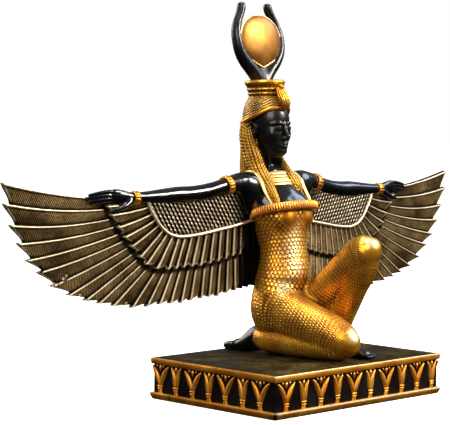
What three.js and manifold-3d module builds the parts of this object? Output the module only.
// Kneeling winged goddess on a rectangular plinth, cast in resin.
// Millimetres, +Z up. The figure faces -Y, and its left hand points to +X.
// The origin is the centre of the plinth's underside.
import * as THREE from 'three';
import { mergeVertices } from 'three/addons/utils/BufferGeometryUtils.js';
import Module from 'manifold-3d';

const wasm = await Module();
wasm.setup();

// Driving dimensions
const PLINTH = { width: 131, depth: 91, height: 22, slab: 3, foot: 3.7, inset: 1.3, spread: 0.4 };
const FRIEZE = {
  proud: 0.9,
  front: { count: 10, start: -56.6, pitch: 12.9 },
  side: { count: 7, start: -38.9, pitch: 12.15 },
};
const LOTUS = { stem: 0.8, waist: 5.4, tip: 14.2, open: 5.75, shut: 3.4 };
const WING = { y0: 18.2, sweep: 0.1, thickness: 3 };
const ARM = { wrist: 108.2 };
const DISK = { radius: 14, low: 14.7, high: 14.4, edge: 2.2, dome: 1, lean: 13 };
const BAND_PROUD = 0.7;
const REST_GAP = 0.3;

const SIDE = new THREE.Vector3(1, 0, 0);
const DEPTH = new THREE.Vector3(0, 1, 0);
const TOP = PLINTH.height;

// A closed solid for joining and cutting
function solid(geometry) {
  const bare = geometry.clone();
  bare.deleteAttribute('normal');
  bare.deleteAttribute('uv');
  const merged = mergeVertices(bare, 1e-4);
  const mesh = new wasm.Mesh({
    numProp: 3,
    vertProperties: Float32Array.from(merged.attributes.position.array),
    triVerts: Uint32Array.from(merged.index.array),
  });
  mesh.merge();
  return new wasm.Manifold(mesh);
}

// The faceted geometry of a joined solid
function geometryOf(shape) {
  const { vertProperties, triVerts, numProp } = shape.getMesh();
  const geometry = new THREE.BufferGeometry();
  const flat = new Float32Array((vertProperties.length / numProp) * 3);
  for (let v = 0; v * numProp < vertProperties.length; v++) {
    for (let k = 0; k < 3; k++) flat[v * 3 + k] = vertProperties[v * numProp + k];
  }
  geometry.setAttribute('position', new THREE.BufferAttribute(flat, 3));
  geometry.setIndex(new THREE.BufferAttribute(Uint32Array.from(triVerts), 1));
  geometry.computeVertexNormals();
  return geometry;
}

// Geometry from points and corners, turned inside out if its faces point in
function facets(points, index) {
  let volume = 0;
  for (let i = 0; i < index.length; i += 3) {
    const [a, b, c] = [points[index[i]], points[index[i + 1]], points[index[i + 2]]];
    volume += a.dot(new THREE.Vector3().crossVectors(b, c));
  }
  const order = volume > 0 ? index : index.slice().reverse();
  const geometry = new THREE.BufferGeometry().setFromPoints(points);
  geometry.setIndex(order);
  return geometry;
}

// A closed skin through rings with the same number of points, and a fan over each end
function skin(rings) {
  const sides = rings[0].length;
  const points = rings.flat();
  const index = [];
  for (let r = 0; r + 1 < rings.length; r++) {
    for (let s = 0; s < sides; s++) {
      const a = r * sides + s;
      const b = r * sides + ((s + 1) % sides);
      index.push(a, b, b + sides, a, b + sides, a + sides);
    }
  }
  for (const [start, flip] of [[0, true], [(rings.length - 1) * sides, false]]) {
    const centre = new THREE.Vector3();
    for (let s = 0; s < sides; s++) centre.addScaledVector(points[start + s], 1 / sides);
    points.push(centre);
    for (let s = 0; s < sides; s++) {
      const a = start + s;
      const b = start + ((s + 1) % sides);
      index.push(...(flip ? [points.length - 1, b, a] : [points.length - 1, a, b]));
    }
  }
  return solid(facets(points, index));
}

// Ellipses carried along a smooth curve. A station is [x, y, z, half width, half height]:
// the width runs along the reference direction, the height across it and the curve.
function limb(stations, reference, { sides = 12, steps = 10 } = {}) {
  const path = new THREE.CatmullRomCurve3(stations.map((s) => new THREE.Vector3(s[0], s[1], s[2])));
  const size = new THREE.CatmullRomCurve3(stations.map((s) => new THREE.Vector3(s[3], s[4], 0)));
  const rings = [];
  for (let i = 0; i <= steps; i++) {
    const centre = path.getPoint(i / steps);
    const along = path.getTangent(i / steps);
    const wide = reference.clone().addScaledVector(along, -reference.dot(along)).normalize();
    const high = new THREE.Vector3().crossVectors(along, wide);
    const half = size.getPoint(i / steps);
    const ring = [];
    for (let s = 0; s < sides; s++) {
      const angle = (2 * Math.PI * s) / sides;
      ring.push(centre.clone()
        .addScaledVector(wide, half.x * Math.cos(angle))
        .addScaledVector(high, half.y * Math.sin(angle)));
    }
    rings.push(ring);
  }
  return skin(rings);
}

// An ellipsoid at a place
function bulb(x, y, z, rx, ry, rz, around = 12, down = 8) {
  const ball = new THREE.SphereGeometry(1, around, down);
  ball.scale(rx, ry, rz);
  ball.translate(x, y, z);
  return solid(ball);
}

// A flat outline pushed through a thickness along +Z, then placed by a matrix
function plate(outline, thickness, matrix) {
  const geometry = new THREE.ExtrudeGeometry(new THREE.Shape(outline), {
    depth: thickness, bevelEnabled: false, curveSegments: 8,
  });
  geometry.applyMatrix4(matrix);
  return solid(geometry);
}

const join = (solids) => wasm.Manifold.union(solids);
const mirrored = (shape) => shape.mirror([1, 0, 0]);

// A closed slab between a front grid and a back grid of points
function slab(front, back) {
  const rows = front.length;
  const columns = front[0].length;
  const points = [...front.flat(), ...back.flat()];
  const far = rows * columns;
  const index = [];
  const quad = (a, b, c, d) => index.push(a, b, c, a, c, d);
  for (let r = 0; r + 1 < rows; r++) {
    for (let c = 0; c + 1 < columns; c++) {
      const a = r * columns + c;
      quad(a, a + 1, a + columns + 1, a + columns);
      quad(far + a, far + a + columns, far + a + columns + 1, far + a + 1);
    }
  }
  for (let c = 0; c + 1 < columns; c++) {
    const last = (rows - 1) * columns + c;
    quad(c + 1, c, far + c, far + c + 1);
    quad(last, last + 1, far + last + 1, far + last);
  }
  for (let r = 0; r + 1 < rows; r++) {
    const left = r * columns;
    const right = left + columns - 1;
    quad(left, left + columns, far + left + columns, far + left);
    quad(right + columns, right, far + right, far + right + columns);
  }
  return solid(facets(points, index));
}

// A smooth curve through (out, up) points that sit at stated feather numbers
function featherCurve(stations) {
  return (number) => {
    const last = stations.length - 1;
    let k = 0;
    while (k < last - 1 && number > stations[k + 1][0]) k++;
    const at = (j) => stations[Math.min(Math.max(j, 0), last)];
    const [p0, p1, p2, p3] = [at(k - 1), at(k), at(k + 1), at(k + 2)];
    const span = p2[0] - p1[0];
    const t = (number - p1[0]) / span;
    const value = (axis) => {
      const m1 = (p2[axis] - p0[axis]) / Math.max(p2[0] - p0[0], span) * span;
      const m2 = (p3[axis] - p1[axis]) / Math.max(p3[0] - p1[0], span) * span;
      return (2 * t ** 3 - 3 * t ** 2 + 1) * p1[axis] + (t ** 3 - 2 * t ** 2 + t) * m1
        + (-2 * t ** 3 + 3 * t ** 2) * p2[axis] + (t ** 3 - t ** 2) * m2;
    };
    return [value(1), value(2)];
  };
}

// A place on the left wing: out from the mid-plane, up, and in front of the wing's face
const wingPoint = (out, up, front) => new THREE.Vector3(out, WING.y0 + WING.sweep * out - front, up);

// One tier of feathers, pleated: each has a raised shaft edge, and a vane that falls to the next shaft
function featherTier({ count, root, tip, rows, lift, depth, ridge, groove, notch, bow }) {
  const front = [];
  const back = [];
  for (let r = 0; r <= rows; r++) {
    const share = r / rows;
    const [frontRow, backRow] = [[], []];
    for (let f = 0; f < count; f++) {
      for (const edge of [0, 0.84]) {
        const [ra, rz] = root(f + edge);
        const [ta, tz] = tip(f + edge);
        const length = Math.hypot(ta - ra, tz - rz);
        const reach = share * (edge ? 1 - notch / length : 1);
        const sag = bow(f) * 4 * share * (1 - share);
        const out = ra + (ta - ra) * reach;
        const up = rz + (tz - rz) * reach - sag;
        frontRow.push(wingPoint(out, up, lift + (edge ? -groove : ridge)));
        backRow.push(wingPoint(out, up, lift - depth));
      }
    }
    front.push(frontRow);
    back.push(backRow);
  }
  return slab(front, back);
}

// The three tiers of a wing, numbered from the top feather inwards
const OUTER = {
  count: 27,
  root: featherCurve([[0, 98, 107.6], [3, 94, 97], [9, 80, 81], [14, 62, 78], [27, 3, 86]]),
  tip: featherCurve([[0, 171.8, 117.1], [3, 163.2, 87.7], [6, 144.1, 65.8], [10, 107.3, 53.7],
    [14, 77.8, 52.4], [20, 39.9, 54.7], [27, 3, 61]]),
};
const MIDDLE = {
  count: 22,
  root: featherCurve([[0, 82, 107.6], [4, 76, 97], [8, 66, 91], [13, 44, 92], [22, 3, 98]]),
  tip: featherCurve([[0, 112.6, 105.4], [1, 110, 100.4], [4, 97.6, 83.9], [7, 81.5, 71.4], [10, 64.1, 71],
    [14, 41.2, 73.4], [22, 3, 81]]),
};
const RIM = featherCurve([[0, 88, 107], [2, 85.6, 101], [4, 80, 93.6], [6, 71.3, 88.5], [9, 57.3, 87.9],
  [12, 42, 90], [18, 4, 97]]);

function coverts() {
  const steps = 18;
  const [front, back] = [[], []];
  for (const share of [0, 1]) {
    const [frontRow, backRow] = [[], []];
    for (let k = 0; k <= steps; k++) {
      const [out, up] = RIM(k);
      const armZ = ARM.wrist + 1 + (k / steps) * 4;
      const z = armZ + (up - armZ) * share;
      frontRow.push(wingPoint(out, z, 2.2));
      backRow.push(wingPoint(out, z, -WING.thickness));
    }
    front.push(frontRow);
    back.push(backRow);
  }
  return slab(front, back);
}

function covertRim() {
  const stations = [];
  for (let k = 0; k <= 16; k += 2) {
    const [out, up] = RIM(k);
    const at = wingPoint(out, up, 2.2);
    stations.push([at.x, at.y, at.z, 0.9, 0.9]);
  }
  return limb(stations, DEPTH, { sides: 6, steps: 10 });
}

function wing() {
  const outer = featherTier({ ...OUTER, rows: 3, lift: 0, depth: WING.thickness, ridge: 0.4, groove: 0.3,
    notch: 3, bow: (f) => 2.6 * Math.max(0, 1 - f / 8) });
  const middle = featherTier({ ...MIDDLE, rows: 2, lift: 1.2, depth: 1.8, ridge: 0.4, groove: 0.3,
    notch: 1.8, bow: () => 0 });
  return join([outer, middle, coverts(), covertRim()]);
}

// A bangle that stands proud of an arm, from one point on its axis to another
function bangle(from, to, radius) {
  return limb([[...from, radius, radius], [...to, radius, radius]], DEPTH, { sides: 10, steps: 1 });
}

function arm() {
  const flesh = limb([
    [12, 19, 113, 4, 4],
    [20, 20, 114.2, 5.8, 6],
    [27, 20.4, 114.2, 5, 5.4],
    [35, 20.8, 113, 3.8, 4.2],
    [46, 22, 110.6, 3.6, 3.9],
    [58, 23.6, 108.8, 3.5, 3.6],
    [68, 24.4, 108.8, 3.5, 3.6],
    [84, 25.2, ARM.wrist, 3, 3],
    [96, 25.8, ARM.wrist, 2.5, 2.6],
  ], DEPTH, { sides: 8, steps: 12 });
  const hand = limb([
    [92, 25.6, ARM.wrist, 2.4, 2.4],
    [101, 26, 108.6, 2.6, 3.2],
    [109, 27, 109.2, 2.2, 4.4],
    [116, 28.6, 109, 1.8, 3.4],
    [124.5, 30.4, 108.6, 1, 1.2],
  ], DEPTH, { sides: 8, steps: 7 });
  const upper = bangle([33, 20.6, 113.6], [36.6, 20.8, 112.9], 4.1 + BAND_PROUD);
  const lower = bangle([94.2, 25.7, ARM.wrist], [97.2, 25.8, ARM.wrist], 2.6 + BAND_PROUD);
  return join([flesh, hand, upper, lower]);
}

function torso() {
  const trunk = limb([
    [0, 16, 28, 6, 4], [0, 14, 34, 12, 9], [0, 12.8, 44, 17.2, 13.2], [0, 13, 53, 17.6, 12.8],
    [0, 11, 62, 17.2, 12.9], [0, 10.6, 70, 15.2, 11.5], [0, 11, 76, 14.2, 10.9], [0, 12, 84, 15.6, 12],
    [0, 13.2, 92, 18.4, 14.6], [0, 13.2, 99, 19.2, 14.8], [0, 14.6, 105, 19, 12], [0, 17, 112, 19.5, 9],
    [0, 19, 117.5, 14, 6.4], [0, 19.5, 121, 7, 5.6], [0, 19.6, 130, 5.2, 5.2],
  ], SIDE, { sides: 14, steps: 18 });
  const neckline = limb([[0, 12.4, 96, 21.4, 16.8], [0, 12.8, 100.4, 21.6, 17]], SIDE,
    { sides: 16, steps: 1 });
  const tilted = neckline.translate([0, -13, -98]).rotate([-9, 0, 0]).translate([0, 13, 98]);
  const collar = limb([[0, 17.4, 121.4, 6.6, 7], [0, 15.2, 116, 10, 8.8], [0, 14.4, 111, 11.4, 10.6]], SIDE,
    { sides: 14, steps: 3 });
  return join([trunk, tilted, collar]);
}

// The right leg kneels: thigh forward and down, shin flat behind, toes tucked under
function kneelingLeg() {
  const thigh = limb([
    [-6, 16, 46, 8, 9], [-7.6, 9, 47.6, 11, 12], [-7, 1, 45.4, 11.8, 11.6], [-4.5, -12, 41, 11.2, 10.6],
    [-1, -24.4, 36.4, 9.8, 9.8], [1.6, -32, 32.8, 9, 9.8], [2.6, -37.6, 31, 6.4, 7],
    [3, -41, 30.4, 2.4, 2.6],
  ], SIDE, { sides: 10, steps: 10 });
  const shin = limb([
    [2.4, -34, 28, 7, 6], [0, -24, 28.4, 9, 6.8], [-3.4, -8, 29.4, 9.4, 7.4], [-6.6, 6, 30, 8.6, 7.6],
    [-8.4, 15, 30.4, 7.2, 7.2], [-9, 20.4, 30.8, 4.6, 5.6],
  ], SIDE, { sides: 10, steps: 7 });
  const foot = limb([
    [-8.6, 18, 33, 4, 4], [-9, 25, 32.2, 4.2, 4], [-9.4, 31, 29.2, 4.4, 4.2], [-9.8, 36.4, 26.4, 4.6, 3.6],
    [-10, 42, 24.4, 4.2, 2],
  ], SIDE, { sides: 8, steps: 5 });
  return join([thigh, shin, foot]);
}

// The left leg is raised: thigh forward and up, shin upright, sole flat
function raisedLeg() {
  const thigh = limb([
    [7, 18, 45, 8, 9], [8.5, 8, 51, 11, 11.6], [11, -2, 59, 11, 11], [14, -14, 69, 10.2, 10.6],
    [16.6, -24, 76, 9.4, 9.4], [18, -31.4, 79.4, 8.8, 8.6], [18.4, -36.6, 80.4, 6.2, 6.6],
    [18.6, -39.4, 80.8, 2.6, 2.6],
  ], SIDE, { sides: 10, steps: 10 });
  const shin = limb([
    [18.2, -33.4, 79, 7, 5.6], [18.2, -28.6, 71, 8.2, 8.6], [18.2, -23.4, 60, 7.2, 7.6],
    [18.2, -19.2, 50, 6.2, 6.6], [18.2, -15.2, 40, 5.2, 5.4], [18.2, -11.8, 31, 4.6, 4.6],
    [18.2, -11, 24, 4.2, 4.4],
  ], SIDE, { sides: 10, steps: 8 });
  const fold = limb([[9, 6, 44, 6, 9], [12, -6, 50, 5, 12], [16, -15, 58, 4.5, 11]], SIDE,
    { sides: 8, steps: 3 });
  const foot = limb([
    [18, -6, 25.4, 3, 3], [18.2, -10, 26, 4, 4.4], [18.6, -18, 26.4, 4.6, 4.8], [19.4, -27, 24.8, 5.4, 3.6],
    [20.2, -36, 23.6, 5, 2],
  ], SIDE, { sides: 8, steps: 5 });
  return join([thigh, shin, fold, foot]);
}

function head() {
  const skull = limb([
    [0, 18, 129.4, 2.4, 3], [0, 18, 131.6, 5, 7], [0, 19, 134.4, 7, 8.6], [0, 21, 139, 8.8, 10.4],
    [0, 22.4, 145, 9.5, 11.4], [0, 22.8, 152, 9.4, 11.2], [0, 23, 157, 6, 8],
  ], SIDE, { sides: 10, steps: 7 });
  const nose = bulb(0, 11.2, 139.4, 1.4, 1.9, 2.9, 6, 5);
  const wig = limb([
    [0, 29.8, 98, 8, 3], [0, 29.8, 104, 11, 4.6], [0, 30, 113, 13, 6.6], [0, 29.6, 122, 13, 7.6],
    [0, 29.6, 132, 12.6, 8.2], [0, 29.4, 141, 12.4, 8.8], [0, 28.4, 146.6, 12.3, 10.4],
    [0, 26, 150.6, 12.2, 13], [0, 25.6, 155.6, 11.4, 12], [0, 25.4, 159, 9.6, 9.8],
    [0, 26, 162, 9.3, 9.3], [0, 27.2, 167.4, 10.6, 10.6],
  ], SIDE, { sides: 12, steps: 15 });
  const lappet = limb([
    [10.4, 28.4, 141, 2.2, 3.4], [11.4, 27, 133, 2.8, 4.8], [11.4, 23.6, 124, 3.2, 5],
    [10.2, 16.8, 116, 3.6, 4], [10, 10.6, 109.6, 3.8, 3], [10.4, 5.4, 103.6, 3.6, 2],
    [10.6, 3.6, 100.6, 3.2, 1.6],
  ], SIDE, { sides: 8, steps: 7 });
  const ear = bulb(10, 24.6, 139.6, 1.6, 2.2, 3.4, 6, 5);
  const cobra = limb([
    [0, 14, 151.6, 1.4, 1.4], [0, 12.4, 154.6, 2.4, 1.6], [0, 13, 159, 3.4, 1.8], [0, 15.2, 163.8, 3, 1.8],
    [0, 17.6, 166.8, 1.4, 1.4],
  ], SIDE, { sides: 8, steps: 6 });
  return join([skull, nose, wig, lappet, mirrored(lappet), ear, mirrored(ear), cobra]);
}

// Cow's horns with the sun disk between them, leaning back with the head
function sunAndHorns() {
  const horn = limb([
    [2, 28, 162, 3.4, 3], [2.8, 29.2, 168, 4.2, 3.4], [6.4, 30, 174, 4.2, 3.6],
    [12.6, 30.6, 180.4, 3.7, 3.2], [16, 31.6, 187, 3.2, 2.6], [16.6, 32.8, 193, 2.9, 2.3],
    [14.8, 34, 199, 2.7, 2.1], [12, 34.8, 204.6, 2.4, 2], [10.6, 35.6, 209.6, 2.2, 1.9],
  ], DEPTH, { sides: 8, steps: 10 });
  const rim = new THREE.Shape();
  rim.moveTo(0, -DISK.low);
  rim.bezierCurveTo(6, -DISK.low + 2.6, DISK.radius, -8, DISK.radius, 1);
  rim.bezierCurveTo(DISK.radius, 9, 8, DISK.high, 0, DISK.high);
  rim.bezierCurveTo(-8, DISK.high, -DISK.radius, 9, -DISK.radius, 1);
  rim.bezierCurveTo(-DISK.radius, -8, -6, -DISK.low + 2.6, 0, -DISK.low);
  const disk = new THREE.ExtrudeGeometry(rim, {
    depth: DISK.edge,
    bevelThickness: DISK.dome,
    bevelSize: 4,
    bevelOffset: -4,
    bevelSegments: 1,
    curveSegments: 6,
  });
  disk.translate(0, 0, -DISK.edge / 2);
  disk.rotateX(Math.PI / 2 - THREE.MathUtils.degToRad(DISK.lean));
  disk.translate(0, 30.9, 190.7);
  const root = limb([[0, 28.4, 162, 4, 3.4], [0, 29.4, 170, 4, 3.4], [0, 30.2, 176.4, 2, 2.6]], SIDE,
    { sides: 8, steps: 2 });
  return join([horn, mirrored(horn), root, solid(disk)]);
}

function goddess() {
  const halfFigure = join([wing(), arm()]);
  const body = join([torso(), kneelingLeg(), raisedLeg(), head(), sunAndHorns()]);
  const whole = join([halfFigure, mirrored(halfFigure), body]);
  return whole.trimByPlane([0, 0, 1], TOP + REST_GAP).simplify(0.06);
}

// One lotus of the frieze: a stem on the foot moulding, two petals that part, and a bud between them
function lotusOutline(open) {
  const half = [
    [LOTUS.stem, 0], [LOTUS.stem, LOTUS.waist], [open * 0.55, LOTUS.tip * 0.68], [open, LOTUS.tip],
    [open * 0.26, LOTUS.tip * 0.7],
  ];
  const other = half.map(([x, y]) => [-x, y]).reverse();
  return [...half, [0, LOTUS.tip + 0.3], ...other].map(([x, y]) => new THREE.Vector2(x, y));
}

// Lotuses along one face, a wide one and a narrow one in turn
function friezeSide({ count, start, pitch }, faceOffset, turn) {
  const lotuses = [];
  for (let k = 0; k < count; k++) {
    const outline = lotusOutline(k % 2 ? LOTUS.shut : LOTUS.open);
    const upright = new THREE.Matrix4().makeRotationX(Math.PI / 2);
    upright.setPosition(start + k * pitch, 0.4 - faceOffset, PLINTH.foot - 0.2);
    const place = new THREE.Matrix4().makeRotationZ(turn).multiply(upright);
    lotuses.push(plate(outline, 0.4 + FRIEZE.proud, place));
  }
  return lotuses;
}

// A rectangular course of the plinth from [overhang, height] stations
function course(stations) {
  return skin(stations.map(([over, z]) => [[-1, -1], [1, -1], [1, 1], [-1, 1]].map(([sx, sy]) =>
    new THREE.Vector3(sx * (PLINTH.width / 2 + over), sy * (PLINTH.depth / 2 + over), z))));
}

function plinth() {
  const { width, depth, height, inset, slab: top, foot, spread } = PLINTH;
  const die = course([[-inset, 1], [-inset, height - 1]]);
  const lid = course([[-0.4, height - top], [0, height - top + 0.4], [0, height]]);
  const base = course([[-0.9, 0], [spread, foot - 1.1], [spread, foot - 0.5], [-0.2, foot]]);
  const fronts = [0, Math.PI].flatMap((turn) => friezeSide(FRIEZE.front, depth / 2 - inset, turn));
  const sides = [-Math.PI / 2, Math.PI / 2].flatMap((turn) =>
    friezeSide(FRIEZE.side, width / 2 - inset, turn));
  return join([die, lid, base, ...fronts, ...sides]);
}

function named(name, shape, material) {
  const mesh = new THREE.Mesh(geometryOf(shape), material);
  mesh.name = name;
  return mesh;
}

const antiqueGold = new THREE.MeshStandardMaterial({ color: 0xb07a22, roughness: 0.4, metalness: 0.7 });
const darkBronze = new THREE.MeshStandardMaterial({ color: 0x2e2a24, roughness: 0.5, metalness: 0.4 });

const statue = new THREE.Group();
statue.add(named('goddess', goddess(), antiqueGold));
statue.add(named('plinth', plinth(), darkBronze));

export default statue;
